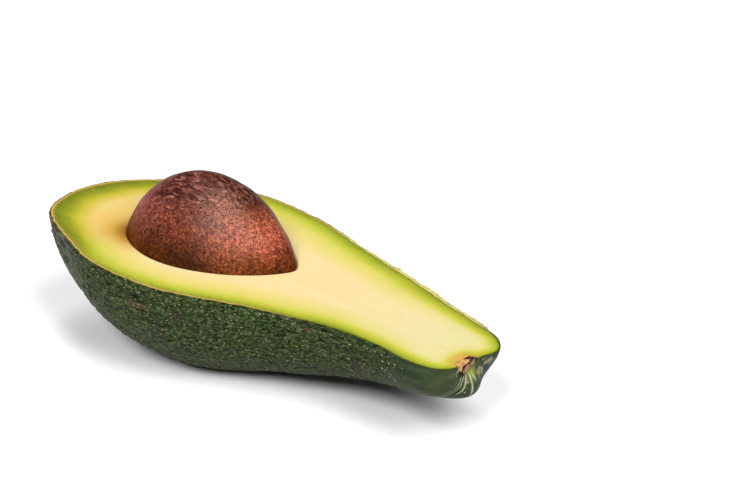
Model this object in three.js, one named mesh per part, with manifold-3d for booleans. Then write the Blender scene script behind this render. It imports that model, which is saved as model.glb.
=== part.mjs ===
// Half of a long-necked avocado with a pebbled green peel, cut lengthwise through the stem, with the seed left in
// its hollow. Millimetres, +Z up. The half lies on its rounded back, on a small spot that its weight has flattened,
// with the cut face up and the stem end hanging a little lower. The origin is the middle of that flat spot, and +X
// runs towards the stem end.
//
// Everything is first made in the fruit's own frame: x along the cut from the blossom end, y across it, z up from
// the cut face. One group then tips the fruit and sets it down on its flat spot.
import * as THREE from "three";
import { mergeVertices } from "three/addons/utils/BufferGeometryUtils.js";
import Module from "manifold-3d";

const wasm = await Module();
wasm.setup();

// ---- driving dimensions ----
const LENGTH = 138.7; // from blossom end to stem end, along the cut face
const STEM_END_DROP = THREE.MathUtils.degToRad(5); // how far the stem end tips down
const FLAT_DEPTH = 0.6; // how far the back is pressed in where it rests
const PEEL = 1.0; // thickness of the peel
const GAP = 0.3; // clearance between two pieces that touch

// The fruit's girth: half its width across the cut, its depth below the cut, and how far its middle line strays
// sideways, at stations along its length. The neck is longer and straighter on the +Y side.
const STATIONS = [
  { along: 4, width: 13.9, depth: 14.0, stray: -1.0 },
  { along: 22, width: 27.6, depth: 27.0, stray: 1.6 },
  { along: 34, width: 32.2, depth: 31.2, stray: 1.7 },
  { along: 57, width: 32.2, depth: 32.2, stray: 2.1 },
  { along: 81, width: 24.3, depth: 26.0, stray: 3.9 },
  { along: 105, width: 17.6, depth: 19.3, stray: 4.4 },
  { along: 116, width: 15.7, depth: 16.5, stray: 3.1 },
  { along: 126, width: 15.1, depth: 14.4, stray: 1.3 },
  { along: 136.8, width: 10.8, depth: 9.6, stray: 0.5 },
  { along: 138.1, width: 8.0, depth: 7.2, stray: 0.5 },
];

// The stem end: a dimple round the stem, and the lobes and furrows that take turns round it.
const STEM_Y = -2.7; // the stem stands a little to one side of the middle line
const DIMPLE = { depth: 1.8, reach: 4.2 };
// fullTurn says how many lobes would fit all round, and rise how much more they stand out than the furrows sink in.
const LOBE = { height: 0.65, rise: 0.45, fullTurn: 5, middle: 9.5, reach: 4 };

// Pebbles of the peel: rounded bumps about this far apart, fading out where the neck is smooth.
const PEBBLE = { spacing: 5.2, height: 0.6, shake: 0.3, smoothFrom: 114, smoothTo: 130 };
const PEBBLE_RANDOM_SEED = 11;

// The seed: an egg lying along the fruit, its blunt end towards the blossom, a little over half of it in the flesh.
const SEED = { x: 49, y: 0.8, turn: THREE.MathUtils.degToRad(9.5), half: 26.2, width: 17.5, height: 21.3, sunk: 2.3 };
const SEED_ENDS = 1.4; // how pointed its ends are: 1 makes an ellipsoid
const SEED_SECTION = 1.82; // how full its section is: 2 makes an ellipse
const SEED_BLUNT = 0.15; // how much rounder it is towards the blossom end
const SEED_LEAN = 0.045; // how steeply its middle line climbs towards the stem

// The stump of the stem, cut through with the fruit, at the bottom of the dimple.
const STUMP = { width: 3.0, depth: 2.8, from: 136.0, to: 137.1, flare: 0.85, sides: 24 };

// How fine the faces are.
const PEEL_EDGE = 1.75;
const INNER_EDGE = 4.2;
const SEED_RINGS = 26;
const SEED_SIDES = 36;

// ---- the fruit's skin as a formula ----
const stemward = (along) => Math.acos(1 - (2 * along) / LENGTH); // 0 at the blossom end, pi at the stem end
const lerpSlope = (before, after, stepBefore, stepAfter) =>
  (before * stepAfter + after * stepBefore) / (stepBefore + stepAfter);

// A smooth curve through the stations, mirrored past both ends. An odd one falls to nothing there, so that the
// fruit closes in a round nose, and an even one arrives level.
function throughStations(key, sign) {
  const knots = STATIONS.map((s) => [stemward(s.along), s[key]]);
  const ends = sign < 0 ? [[0, 0], [Math.PI, 0]] : [];
  const before = knots.map(([a, v]) => [-a, sign * v]);
  const after = knots.map(([a, v]) => [2 * Math.PI - a, sign * v]);
  const all = [...before, ...knots, ...ends, ...after].sort((p, q) => p[0] - q[0]);
  const step = all.slice(1).map((p, i) => p[0] - all[i][0]);
  const rise = all.slice(1).map((p, i) => (p[1] - all[i][1]) / step[i]);
  return (angle) => {
    let i = 1;
    while (i < all.length - 3 && all[i + 1][0] <= angle) i++;
    const t = (angle - all[i][0]) / step[i];
    const m0 = lerpSlope(rise[i - 1], rise[i], step[i - 1], step[i]) * step[i];
    const m1 = lerpSlope(rise[i], rise[i + 1], step[i], step[i + 1]) * step[i];
    const [t2, t3] = [t * t, t * t * t];
    return (2 * t3 - 3 * t2 + 1) * all[i][1] + (t3 - 2 * t2 + t) * m0
      + (3 * t2 - 2 * t3) * all[i + 1][1] + (t3 - t2) * m1;
  };
}
const widthAt = throughStations("width", -1);
const depthAt = throughStations("depth", -1);
const strayAt = throughStations("stray", 1);

// How far the stem end is drawn in at a point by the dimple, and how far the lobes round it stand out or the
// furrows between them sink in.
const dimpleAt = (y, z) => DIMPLE.depth * Math.exp(-((Math.hypot(y - STEM_Y, z) / DIMPLE.reach) ** 2));
function lobeAt(point) {
  const away = Math.hypot(point.y - STEM_Y, point.z, (LENGTH - point.x) / 2);
  const round = Math.atan2(-point.z, point.y - STEM_Y);
  const swell = LOBE.rise + Math.cos(LOBE.fullTurn * round);
  return LOBE.height * swell * Math.exp(-(((away - LOBE.middle) / LOBE.reach) ** 2));
}

// A point of the bare skin. Angle runs from the blossom end to the stem end, and round from 0 on the +Y edge of
// the cut, under the fruit, to pi on the -Y edge.
function bareSkin(angle, round) {
  const along = (LENGTH / 2) * (1 - Math.cos(angle));
  const y = strayAt(angle) + widthAt(angle) * Math.cos(round);
  const z = -depthAt(angle) * Math.sin(round);
  const nearStem = THREE.MathUtils.smoothstep(along, LENGTH - 16, LENGTH - 3);
  return new THREE.Vector3(along - nearStem * dimpleAt(y, z), y, z);
}

function skinNormal(angle, round) {
  const small = 1e-3;
  const a = THREE.MathUtils.clamp(angle, 0.02, Math.PI - 0.02);
  const alongward = bareSkin(a + small, round).sub(bareSkin(a - small, round));
  const roundward = bareSkin(a, round + small).sub(bareSkin(a, round - small));
  return alongward.cross(roundward).normalize();
}

// ---- the flat spot ----
const up = new THREE.Vector3(-Math.sin(STEM_END_DROP), 0, Math.cos(STEM_END_DROP)); // true up, in the fruit's frame
const lowest = (() => {
  let best = new THREE.Vector3();
  for (let along = 0; along < LENGTH; along += 0.05) {
    const p = bareSkin(stemward(along), Math.PI / 2);
    if (p.dot(up) < best.dot(up)) best = p;
  }
  return best;
})();
const floorLevel = lowest.dot(up) + FLAT_DEPTH;

function pressFlat(point, above) {
  const under = floorLevel + above - point.dot(up);
  return under > 0 ? point.addScaledVector(up, under) : point;
}

// ---- pebbles ----
function seededRandom(seed) {
  let state = seed;
  return () => {
    state = (state * 1664525 + 1013904223) % 4294967296;
    return state / 4294967296;
  };
}

// Middles of the pebbles, spread evenly over the skin by the golden ratio and then shaken a little.
function pebbleMiddles() {
  const random = seededRandom(PEBBLE_RANDOM_SEED);
  const slices = 400;
  const area = [0];
  for (let i = 1; i <= slices; i++) {
    const angle = (Math.PI * (i - 0.5)) / slices;
    const reach = (LENGTH / 2) * Math.sin(angle) * (Math.PI / slices);
    const slope = (widthAt(angle + 0.01) - widthAt(angle - 0.01)) / 0.02 * (Math.PI / slices);
    area.push(area[i - 1] + Math.PI * widthAt(angle) * Math.hypot(reach, slope));
  }
  const count = Math.round(area[slices] / (0.866 * PEBBLE.spacing ** 2));
  const golden = (Math.sqrt(5) - 1) / 2;
  const middles = [];
  let slice = 0;
  for (let k = 0; k < count; k++) {
    const wanted = ((k + 0.5) / count) * area[slices];
    while (area[slice + 1] < wanted) slice++;
    const angle = (Math.PI * (slice + (wanted - area[slice]) / (area[slice + 1] - area[slice]))) / slices;
    const round = Math.PI * ((k * golden) % 1);
    const shake = () => (random() - 0.5) * PEBBLE.shake * PEBBLE.spacing;
    middles.push(bareSkin(angle, round).add(new THREE.Vector3(shake(), shake(), shake())));
  }
  return middles;
}
const middles = pebbleMiddles();

// Height of the pebbles at a skin point: full in the middle of each, nothing in the creases between two.
function pebbleHeight(point) {
  let [first, second] = [Infinity, Infinity];
  for (const m of middles) {
    const d = m.distanceToSquared(point);
    if (d < first) [first, second] = [d, first];
    else if (d < second) second = d;
  }
  const crease = Math.sqrt(second) - Math.sqrt(first);
  const smooth = THREE.MathUtils.smoothstep(point.x, PEBBLE.smoothFrom, PEBBLE.smoothTo);
  return PEBBLE.height * (1 - smooth) * THREE.MathUtils.smoothstep(crease, 0, 0.6 * PEBBLE.spacing);
}

// The skin sunk inwards by a depth. Only the outermost skin has pebbles.
function skinPoint(angle, round, sunk, pebbled) {
  const point = bareSkin(angle, round);
  const pebble = pebbled ? pebbleHeight(point) - PEBBLE.height / 2 : 0;
  point.addScaledVector(skinNormal(angle, round), pebble + lobeAt(point) - sunk);
  if (round === 0 || round === Math.PI) point.z = 0;
  return pressFlat(point, sunk);
}

// ---- from formulas to solids ----
function solidFrom(points, triangles) {
  const flat = new THREE.BufferGeometry();
  flat.setAttribute("position", new THREE.Float32BufferAttribute(points.flatMap((p) => [p.x, p.y, p.z]), 3));
  flat.setIndex(triangles);
  const merged = mergeVertices(flat, 1e-4);
  return new wasm.Manifold(new wasm.Mesh({
    numProp: 3,
    vertProperties: merged.attributes.position.array,
    triVerts: new Uint32Array(merged.index.array),
  }));
}

// Stitches two rows of points with different counts, always taking the shorter step.
function stitch(triangles, lower, upper) {
  let [i, j] = [0, 0];
  const [m, n] = [lower.length - 1, upper.length - 1];
  while (i < m || j < n) {
    if (j === n || (i < m && (i + 1) / m <= (j + 1) / n)) triangles.push(lower[i], upper[j], lower[++i]);
    else triangles.push(lower[i], upper[j], upper[++j]);
  }
}

// Rows of skin points from the blossom end to the stem end, each from the +Y edge of the cut round to the -Y edge.
function skinRows(points, sunk, edge, pebbled) {
  const angles = [0];
  let [last, walked] = [bareSkin(0, Math.PI / 2), 0];
  for (let angle = 0.002; angle < Math.PI - 0.04; angle += 0.002) {
    const here = bareSkin(angle, Math.PI / 2);
    walked += here.distanceTo(last);
    last = here;
    if (walked > edge * 0.85) {
      angles.push(angle);
      walked = 0;
    }
  }
  angles.push(Math.PI);
  return angles.map((angle, r) => {
    const atEnd = r === 0 || r === angles.length - 1;
    const girth = (Math.PI * (widthAt(angle) + depthAt(angle))) / 2;
    const sides = atEnd ? 0 : Math.max(4, Math.round(girth / edge));
    const row = [];
    for (let i = 0; i <= sides; i++) {
      row.push(points.length);
      points.push(skinPoint(angle, sides === 0 ? 0 : Math.PI * (i / sides), sunk, pebbled));
    }
    return row;
  });
}

function skinFaces(rows) {
  const triangles = [];
  for (let r = 0; r + 1 < rows.length; r++) stitch(triangles, rows[r], rows[r + 1]);
  return triangles;
}

// Everything of the fruit below the cut and inside the skin sunk by a depth, closed by the flat cut face.
function fleshSolid(sunk) {
  const points = [];
  const rows = skinRows(points, sunk, INNER_EDGE, false);
  const triangles = skinFaces(rows);
  for (let r = 0; r + 1 < rows.length; r++) {
    const [near, far] = [rows[r], rows[r + 1]];
    if (far.length > 1) triangles.push(far[0], near.at(-1), far.at(-1));
    if (near.length > 1) triangles.push(far[0], near[0], near.at(-1));
  }
  return solidFrom(points, triangles);
}

// The peel: its pebbled outside, its plain inside, and the flat rim where the knife went through it.
function peelSolid() {
  const points = [];
  const outside = skinRows(points, 0, PEEL_EDGE, true);
  const inside = skinRows(points, PEEL, INNER_EDGE, false);
  const triangles = [...skinFaces(outside), ...skinFaces(inside).reverse()];
  const edgeOf = (rows, side) => rows.map((row) => row.at(side));
  stitch(triangles, edgeOf(outside, 0), edgeOf(inside, 0));
  stitch(triangles, edgeOf(inside, -1), edgeOf(outside, -1));
  return solidFrom(points, triangles);
}

const bulge = (value, power) => Math.sign(value) * Math.abs(value) ** power;

// The seed, or the hollow it sits in when grown by the clearance.
function seedSolid(grown) {
  const points = [];
  const rows = [];
  for (let r = 0; r <= SEED_RINGS; r++) {
    const angle = Math.PI * (r / SEED_RINGS);
    const full = Math.sin(angle) ** SEED_ENDS * (1 + SEED_BLUNT * Math.cos(angle));
    const sides = r === 0 || r === SEED_RINGS ? 1 : SEED_SIDES;
    const row = [];
    for (let i = 0; i < sides; i++) {
      const round = 2 * Math.PI * (i / SEED_SIDES);
      const along = -(SEED.half + grown) * Math.cos(angle);
      const across = (SEED.width + grown) * full * bulge(Math.cos(round), 2 / SEED_SECTION);
      const above = (SEED.height + grown) * full * bulge(Math.sin(round), 2 / SEED_SECTION) + SEED_LEAN * along;
      row.push(points.length);
      points.push(new THREE.Vector3(along, across, above)
        .applyAxisAngle(new THREE.Vector3(0, 0, 1), SEED.turn)
        .add(new THREE.Vector3(SEED.x, SEED.y, -SEED.sunk)));
    }
    rows.push([...row, row[0]]);
  }
  const triangles = [];
  for (let r = 0; r < SEED_RINGS; r++) {
    for (let i = 0; i < SEED_SIDES; i++) {
      const [near, far] = [rows[r], rows[r + 1]];
      const corner = (row, k) => row[Math.min(k, row.length - 1)] ?? row[0];
      const [a, b] = r === 0 ? [near[0], near[0]] : [corner(near, i), corner(near, i + 1)];
      const [c, d] = r === SEED_RINGS - 1 ? [far[0], far[0]] : [corner(far, i), corner(far, i + 1)];
      if (a !== b) triangles.push(a, b, d);
      if (c !== d) triangles.push(a, d, c);
    }
  }
  return solidFrom(points, triangles);
}

// The stump of the stem: a woody half round, a little wider at its outer end, cut off level with the cut face.
function stumpSolid(grown) {
  const points = [];
  const ring = (along, scale) => {
    const row = [];
    for (let i = 0; i <= STUMP.sides; i++) {
      const round = Math.PI * (i / STUMP.sides);
      const ripple = 1 + 0.06 * Math.cos(5 * round);
      row.push(points.length);
      points.push(new THREE.Vector3(
        along,
        STEM_Y + (STUMP.width + grown) * scale * ripple * Math.cos(round),
        -(STUMP.depth + grown) * scale * ripple * Math.sin(round),
      ));
      if (i === 0 || i === STUMP.sides) points.at(-1).z = grown;
    }
    return row;
  };
  const inner = ring(STUMP.from - grown, STUMP.flare);
  const outer = ring(STUMP.to + 8 * grown, 1);
  const triangles = [];
  for (let i = 0; i < STUMP.sides; i++) {
    triangles.push(inner[i], outer[i], outer[i + 1], inner[i], outer[i + 1], inner[i + 1]);
  }
  for (let i = 1; i < STUMP.sides; i++) {
    triangles.push(inner[0], inner[i], inner[i + 1], outer[0], outer[i + 1], outer[i]);
  }
  triangles.push(inner[0], outer.at(-1), outer[0], inner[0], inner.at(-1), outer.at(-1));
  return solidFrom(points, triangles);
}

// ---- the pieces ----
function toGeometry(solid) {
  const mesh = solid.getMesh();
  const geometry = new THREE.BufferGeometry();
  geometry.setAttribute("position", new THREE.Float32BufferAttribute(mesh.vertProperties, 3));
  geometry.setIndex(new THREE.Uint32BufferAttribute(mesh.triVerts, 1));
  geometry.computeVertexNormals();
  return geometry;
}

function piece(name, solid, color, roughness) {
  const material = new THREE.MeshStandardMaterial({ color, roughness, metalness: 0 });
  const mesh = new THREE.Mesh(toGeometry(solid), material);
  mesh.name = name;
  return mesh;
}

const stumpHole = stumpSolid(GAP);
const peel = peelSolid().subtract(stumpHole);
const flesh = fleshSolid(PEEL + GAP).subtract(seedSolid(GAP)).subtract(stumpHole);

const fruit = new THREE.Group();
fruit.add(
  piece("peel", peel, 0x2c4222, 0.45),
  piece("flesh", flesh, 0xe6dc84, 0.5),
  piece("seed", seedSolid(0), 0x7a3f2c, 0.5),
  piece("stem_stump", stumpSolid(0), 0x6b4630, 0.85),
);
fruit.rotation.y = STEM_END_DROP;

// Sets the middle of the flat spot at the origin.
const restPoint = lowest.clone().addScaledVector(up, FLAT_DEPTH).applyEuler(fruit.rotation);
fruit.position.copy(restPoint).negate();

const avocadoHalf = new THREE.Group();
avocadoHalf.add(fruit);

export default avocadoHalf;
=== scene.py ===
# %% [markdown]
# # Half an avocado with its seed
#
# A cut avocado shows four things: a pebbled green peel about a millimetre thick, flesh that fades from
# green at the peel to cream in the middle, a brown seed that sits in its hollow, and a stump of the stem
# that the knife went through. The measured solids are loaded first. Each finer piece below grows from the
# same few sizes as its solid, so it needs no fitting: it is simply where the solid is.

# %% Load the measured solids
import itertools
import math

import bmesh
import bpy
import numpy as np
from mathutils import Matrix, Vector, kdtree


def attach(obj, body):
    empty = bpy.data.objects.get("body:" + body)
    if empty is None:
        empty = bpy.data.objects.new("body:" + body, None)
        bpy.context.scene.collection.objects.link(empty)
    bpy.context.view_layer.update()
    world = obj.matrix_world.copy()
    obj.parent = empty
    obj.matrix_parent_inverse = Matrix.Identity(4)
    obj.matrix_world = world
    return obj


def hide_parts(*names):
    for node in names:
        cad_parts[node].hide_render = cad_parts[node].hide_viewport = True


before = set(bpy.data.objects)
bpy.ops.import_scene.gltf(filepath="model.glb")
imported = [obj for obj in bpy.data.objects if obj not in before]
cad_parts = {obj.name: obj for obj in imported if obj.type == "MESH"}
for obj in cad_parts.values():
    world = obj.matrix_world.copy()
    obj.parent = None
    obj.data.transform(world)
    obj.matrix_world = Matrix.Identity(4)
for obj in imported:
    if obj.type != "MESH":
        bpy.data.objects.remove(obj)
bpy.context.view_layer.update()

# %% [markdown]
# ## The fruit in numbers
#
# The fruit has its own frame, in millimetres: x runs along the cut from the blossom end, y across it, and z
# up from the cut face. A few stations give half its width, its depth and how far its middle line strays
# sideways. At the end everything is tipped by a few degrees, because the half lies on its round back, and
# is set down on its flat spot. Two heights are a little larger here than in the solids, the lobes' round
# the stem and the seed's.

# %% Sizes
MM = 0.001
LENGTH = 138.7
STEM_END_DROP = math.radians(5)
FLAT_DEPTH = 0.6
PEEL = 1.0
GAP = 0.3

# along, half width, depth, stray
STATIONS = np.array([
    (4, 13.9, 14.0, -1.0),
    (22, 27.6, 27.0, 1.6),
    (34, 32.2, 31.2, 1.7),
    (57, 32.2, 32.2, 2.1),
    (81, 24.3, 26.0, 3.9),
    (105, 17.6, 19.3, 4.4),
    (116, 15.7, 16.5, 3.1),
    (126, 15.1, 14.4, 1.3),
    (136.8, 10.8, 9.6, 0.5),
    (138.1, 8.0, 7.2, 0.5),
])

STEM_Y = -2.7
DIMPLE_DEPTH, DIMPLE_REACH = 1.8, 4.2
LOBE_HEIGHT, LOBE_RISE, LOBE_TURN, LOBE_MIDDLE, LOBE_REACH = 0.9, 0.45, 5, 9.5, 4.0
STUMP_WIDTH, STUMP_DEPTH, STUMP_FROM, STUMP_TO = 3.0, 2.8, 136.0, 137.1

# %% [markdown]
# ## One formula for the skin
#
# A point of the skin is named by two angles. One runs from the blossom end to the stem end, the other from
# one edge of the cut, round under the fruit, to the other edge. The curve through the stations is mirrored
# past both ends: a width turns negative there, so it passes through nothing with a round nose, and the
# stray stays level.

# %% Curves through the stations


def smoothstep(value, low, high):
    part = np.clip((value - low) / (high - low), 0, 1)
    return part * part * (3 - 2 * part)


def stemward(along):
    return np.arccos(1 - 2 * along / LENGTH)


def through_stations(column, sign):
    """A smooth curve through one column of the stations. Sign is -1 where the mirror image is negative."""
    angles, values = stemward(STATIONS[:, 0]), STATIONS[:, column]
    poles = np.array([0, math.pi]) if sign < 0 else np.empty(0)
    at = np.concatenate([-angles, angles, 2 * math.pi - angles, poles])
    value = np.concatenate([sign * values, values, sign * values, 0 * poles])
    order = np.argsort(at)
    at, value = at[order], value[order]
    step = np.diff(at)
    rise = np.diff(value) / step
    slope = np.zeros(len(at))
    slope[1:-1] = (rise[:-1] * step[1:] + rise[1:] * step[:-1]) / (step[:-1] + step[1:])

    def curve(angle):
        i = np.clip(np.searchsorted(at, angle, side="right") - 1, 1, len(at) - 3)
        t = (angle - at[i]) / step[i]
        hold = (2 * t**3 - 3 * t**2 + 1) * value[i] + (3 * t**2 - 2 * t**3) * value[i + 1]
        return hold + ((t**3 - 2 * t**2 + t) * slope[i] + (t**3 - t**2) * slope[i + 1]) * step[i]

    return curve


width_at = through_stations(1, -1)
depth_at = through_stations(2, -1)
stray_at = through_stations(3, 1)
print("widest, mm:", round(2 * float(width_at(stemward(np.arange(1, LENGTH, 0.25))).max()), 1))

# %% The bare skin and its outward direction


def bare_skin(angle, round_):
    along = LENGTH / 2 * (1 - np.cos(angle))
    y = stray_at(angle) + width_at(angle) * np.cos(round_)
    z = -depth_at(angle) * np.sin(round_)
    dimple = DIMPLE_DEPTH * np.exp(-(np.hypot(y - STEM_Y, z) / DIMPLE_REACH) ** 2)
    return np.stack([along - smoothstep(along, LENGTH - 16, LENGTH - 3) * dimple, y, z], axis=-1)


def outward(angle, round_, small=1e-3):
    angle = np.clip(angle, 0.02, math.pi - 0.02)
    alongward = bare_skin(angle + small, round_) - bare_skin(angle - small, round_)
    roundward = bare_skin(angle, round_ + small) - bare_skin(angle, round_ - small)
    normal = np.cross(alongward, roundward)
    return normal / np.linalg.norm(normal, axis=-1, keepdims=True)


# %% The flat spot, and the way into the shared frame
true_up = np.array([-math.sin(STEM_END_DROP), 0, math.cos(STEM_END_DROP)])
keel = bare_skin(stemward(np.arange(0, LENGTH, 0.05)), math.pi / 2)
lowest = keel[np.argmin(keel @ true_up)]
floor_level = float(lowest @ true_up) + FLAT_DEPTH


def press_flat(points, above):
    """Pushes points up to the level of the flat spot, or to a height above it."""
    under = floor_level + above - points @ true_up
    return points + np.maximum(under, 0)[..., None] * true_up


def tipped(points):
    c, s = math.cos(STEM_END_DROP), math.sin(STEM_END_DROP)
    x, y, z = np.moveaxis(np.asarray(points, float), -1, 0)
    return np.stack([x * c + z * s, y, z * c - x * s], axis=-1)


rest_point = tipped(lowest + FLAT_DEPTH * true_up)


def in_frame(points):
    """Millimetres in the fruit's frame to metres in the shared frame."""
    return (tipped(points) - rest_point) * MM


print("flat spot centre, mm from the blossom end:", round(float(lowest[0]), 1))

# %% [markdown]
# ## Noise and relief
#
# Relief is real geometry here, because light catches every pebble of the peel and the silhouette shows them
# too. Smooth noise comes from random numbers on a lattice, made by a hash so that each run gives the same
# fruit.

# %% Lattice noise


def lattice_noise(points, size, seed):
    """Smooth noise from -1 to 1, in lumps about one size across."""
    cell = np.asarray(points, float) / size
    low = np.floor(cell).astype(np.int64)
    part = cell - low
    part = part * part * (3 - 2 * part)
    total = np.zeros(cell.shape[:-1])
    stride = np.array([374761393, 668265263, 2246822519])[: cell.shape[-1]]
    for corner in itertools.product((0, 1), repeat=cell.shape[-1]):
        mixed = ((low + corner) @ stride + seed * 3266489917) & 0xFFFFFFFF
        mixed = ((mixed ^ (mixed >> 13)) * 1274126177) & 0xFFFFFFFF
        mixed = (mixed ^ (mixed >> 16)) & 0xFFFF
        weight = np.prod(np.where(corner, part, 1 - part), axis=-1)
        total += weight * (mixed / 32767.5 - 1)
    return total


# %% Where the pebbles are
PEBBLE_SPACING = 1.9
PEBBLE_HEIGHT = 0.32
LENGTHENED = np.array([0.62, 1, 1])


def pebble_middles():
    """Points spread evenly over the skin by the golden ratio, then shaken."""
    edges = np.linspace(0, math.pi, 401)
    middle = (edges[1:] + edges[:-1]) / 2
    band = np.hypot(np.diff(LENGTH / 2 * (1 - np.cos(edges))), np.diff(width_at(edges)))
    area = np.concatenate([[0], np.cumsum(band * math.pi * width_at(middle))])
    count = round(area[-1] / (0.866 * PEBBLE_SPACING**2))
    order = np.arange(count)
    angle = np.interp((order + 0.5) / count * area[-1], area, edges)
    round_ = math.pi * ((order * (math.sqrt(5) - 1) / 2) % 1)
    shake = np.random.default_rng(7).normal(0, 0.28 * PEBBLE_SPACING, (count, 3))
    return bare_skin(angle, round_) + shake


middles = pebble_middles() * LENGTHENED
pebbles = kdtree.KDTree(len(middles))
for index, middle in enumerate(middles):
    pebbles.insert(middle, index)
pebbles.balance()
print("pebbles:", len(middles))


def pebble_crest(points):
    """1 on top of a pebble, 0 in the creases. Pebbles are long, so distances along the fruit count less."""
    nearest = [pebbles.find_n(p, 2) for p in points * LENGTHENED]
    crease = np.array([far[2] - near[2] for near, far in nearest])
    return smoothstep(crease, 0, 0.7 * PEBBLE_SPACING)


# %% [markdown]
# ## Meshes in rows
#
# The skin is wide at the bulb and narrow at the neck. Rows of points with a count that follows the girth
# keep every face about the same size, and a zip stitches one row to the next, always stepping on in the
# row where it has got less far.

# %% Rows and stitching
FINE_FROM = 128


def row_angles(edge, fine_edge):
    """Angles at which the rows lie, about an edge apart along the keel and finer at the stem end."""
    fine = np.linspace(0, math.pi, 60001)
    path = bare_skin(fine, math.pi / 2)
    steps = np.linalg.norm(np.diff(path, axis=0), axis=1)
    wanted = np.interp(path[:-1, 0], [FINE_FROM - 4, FINE_FROM], [edge, fine_edge])
    walked = np.concatenate([[0], np.cumsum(steps / wanted)])
    return np.interp(np.linspace(0, walked[-1], round(walked[-1]) + 1), walked, fine)


def skin_grid(angles, sides_at):
    """The rows as lists of point numbers, and the two angles of every point."""
    rows, angle, round_ = [], [], []
    for r, here in enumerate(angles):
        sides = 0 if r in (0, len(angles) - 1) else sides_at(here)
        rows.append([len(angle) + i for i in range(sides + 1)])
        angle += [here] * (sides + 1)
        round_ += [math.pi * (i / max(sides, 1)) for i in range(sides + 1)]
    return rows, np.array(angle), np.array(round_)


def stitch(lower, upper):
    faces = []
    i = j = 0
    m, n = len(lower) - 1, len(upper) - 1
    while i < m or j < n:
        if j == n or (i < m and (i + 1) * n <= (j + 1) * m):
            faces.append((lower[i], upper[j], lower[i + 1]))
            i += 1
        else:
            faces.append((lower[i], upper[j], upper[j + 1]))
            j += 1
    return faces


def skin_faces(rows):
    return [face for near, far in zip(rows, rows[1:]) for face in stitch(near, far)]


# %% From points to a finished piece


def make_mesh(name, points, faces, attributes):
    """A smooth-shaded mesh object in the shared frame, with numbers kept at its points for the materials."""
    mesh = bpy.data.meshes.new(name)
    mesh.from_pydata(in_frame(points).tolist(), [], faces)
    for key, values in attributes.items():
        layer = mesh.attributes.new(key, "FLOAT", "POINT")
        layer.data.foreach_set("value", np.asarray(values, np.float32))
    mesh.shade_smooth()
    mesh.set_sharp_from_angle(angle=math.radians(62))
    obj = bpy.data.objects.new(name, mesh)
    bpy.context.collection.objects.link(obj)
    return obj


def report(obj):
    check = bmesh.new()
    check.from_mesh(obj.data)
    open_edges = sum(1 for edge in check.edges if not edge.is_manifold)
    triangles = sum(len(face.verts) - 2 for face in check.faces)
    volume = check.calc_volume(signed=True) / MM**3
    check.free()
    print(f"{obj.name}: {triangles} triangles, {open_edges} open edges, {volume:.0f} cubic mm")


# %% [markdown]
# ## Shader maths as Python
#
# A material is a network of nodes. Drawn by hand it is easy to read, but in a script it turns into long
# lists of links. A small class helps: it wraps one output, and its operators add the Math nodes, so a mask
# can be written as `1 - crest * 0.5`. Everything that is not arithmetic comes from one method that takes
# the node's type, its settings and what goes into its sockets. Colours are written as a screen shows them,
# from 0 to 255, and those with four values are plain factors, for multiplying.

# %% Colours
LIGHT_LEVEL = 2.0


def tone(color):
    """The linear colour that looks like three screen values under the light of this scene.
    A wire, or a colour of four values, is ready as it is."""
    if not isinstance(color, tuple) or len(color) == 4:
        return color
    shares = [channel / 255 for channel in color]
    linear = [s / 12.92 if s <= 0.04045 else ((s + 0.055) / 1.055) ** 2.4 for s in shares]
    return (*[value / LIGHT_LEVEL for value in linear], 1.0)


# %% Wires and node trees


class Wire:
    """One output of a node. Arithmetic on it adds Math nodes."""

    def __init__(self, tree, socket):
        self.tree = tree
        self.socket = socket

    def maths(self, operation, first, second):
        sockets = {"Value": first, "Value_001": second}
        return self.tree.node("ShaderNodeMath", {"operation": operation}, sockets)["Value"]

    def __add__(self, other):
        return self.maths("ADD", self, other)

    def __sub__(self, other):
        return self.maths("SUBTRACT", self, other)

    def __rsub__(self, other):
        return self.maths("SUBTRACT", other, self)

    def __mul__(self, other):
        return self.maths("MULTIPLY", self, other)

    def __truediv__(self, other):
        return self.maths("DIVIDE", self, other)

    __radd__ = __add__
    __rmul__ = __mul__

    def ease(self, low, high):
        """0 below low, 1 above high, and smooth between them."""
        sockets = {"Value": self, "From Min": low, "From Max": high}
        return self.tree.node("ShaderNodeMapRange", {"interpolation_type": "SMOOTHSTEP"}, sockets)["Result"]


class Tree:
    """A node tree that is built by calls."""

    def __init__(self, nodes):
        self.tree = nodes

    def node(self, kind, settings=None, sockets=None):
        """Adds a node, sets it, fills its sockets with values or links, and returns its outputs."""
        made = self.tree.nodes.new(kind)
        for name, value in (settings or {}).items():
            if name == "stops":
                self.set_stops(made.color_ramp, value)
            else:
                setattr(made, name, value)
        inputs = {socket.identifier: socket for socket in made.inputs}
        for name, value in (sockets or {}).items():
            if isinstance(value, Wire):
                self.tree.links.new(value.socket, inputs[name])
            else:
                inputs[name].default_value = value
        return {socket.identifier: Wire(self, socket) for socket in made.outputs}

    def set_stops(self, ramp, stops):
        """Gives a colour ramp one stop for each position."""
        while len(ramp.elements) > 1:
            ramp.elements.remove(ramp.elements[-1])
        (position, color), *others = stops.items()
        ramp.elements[0].position, ramp.elements[0].color = position, tone(color)
        for position, color in others:
            ramp.elements.new(position).color = tone(color)


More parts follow.
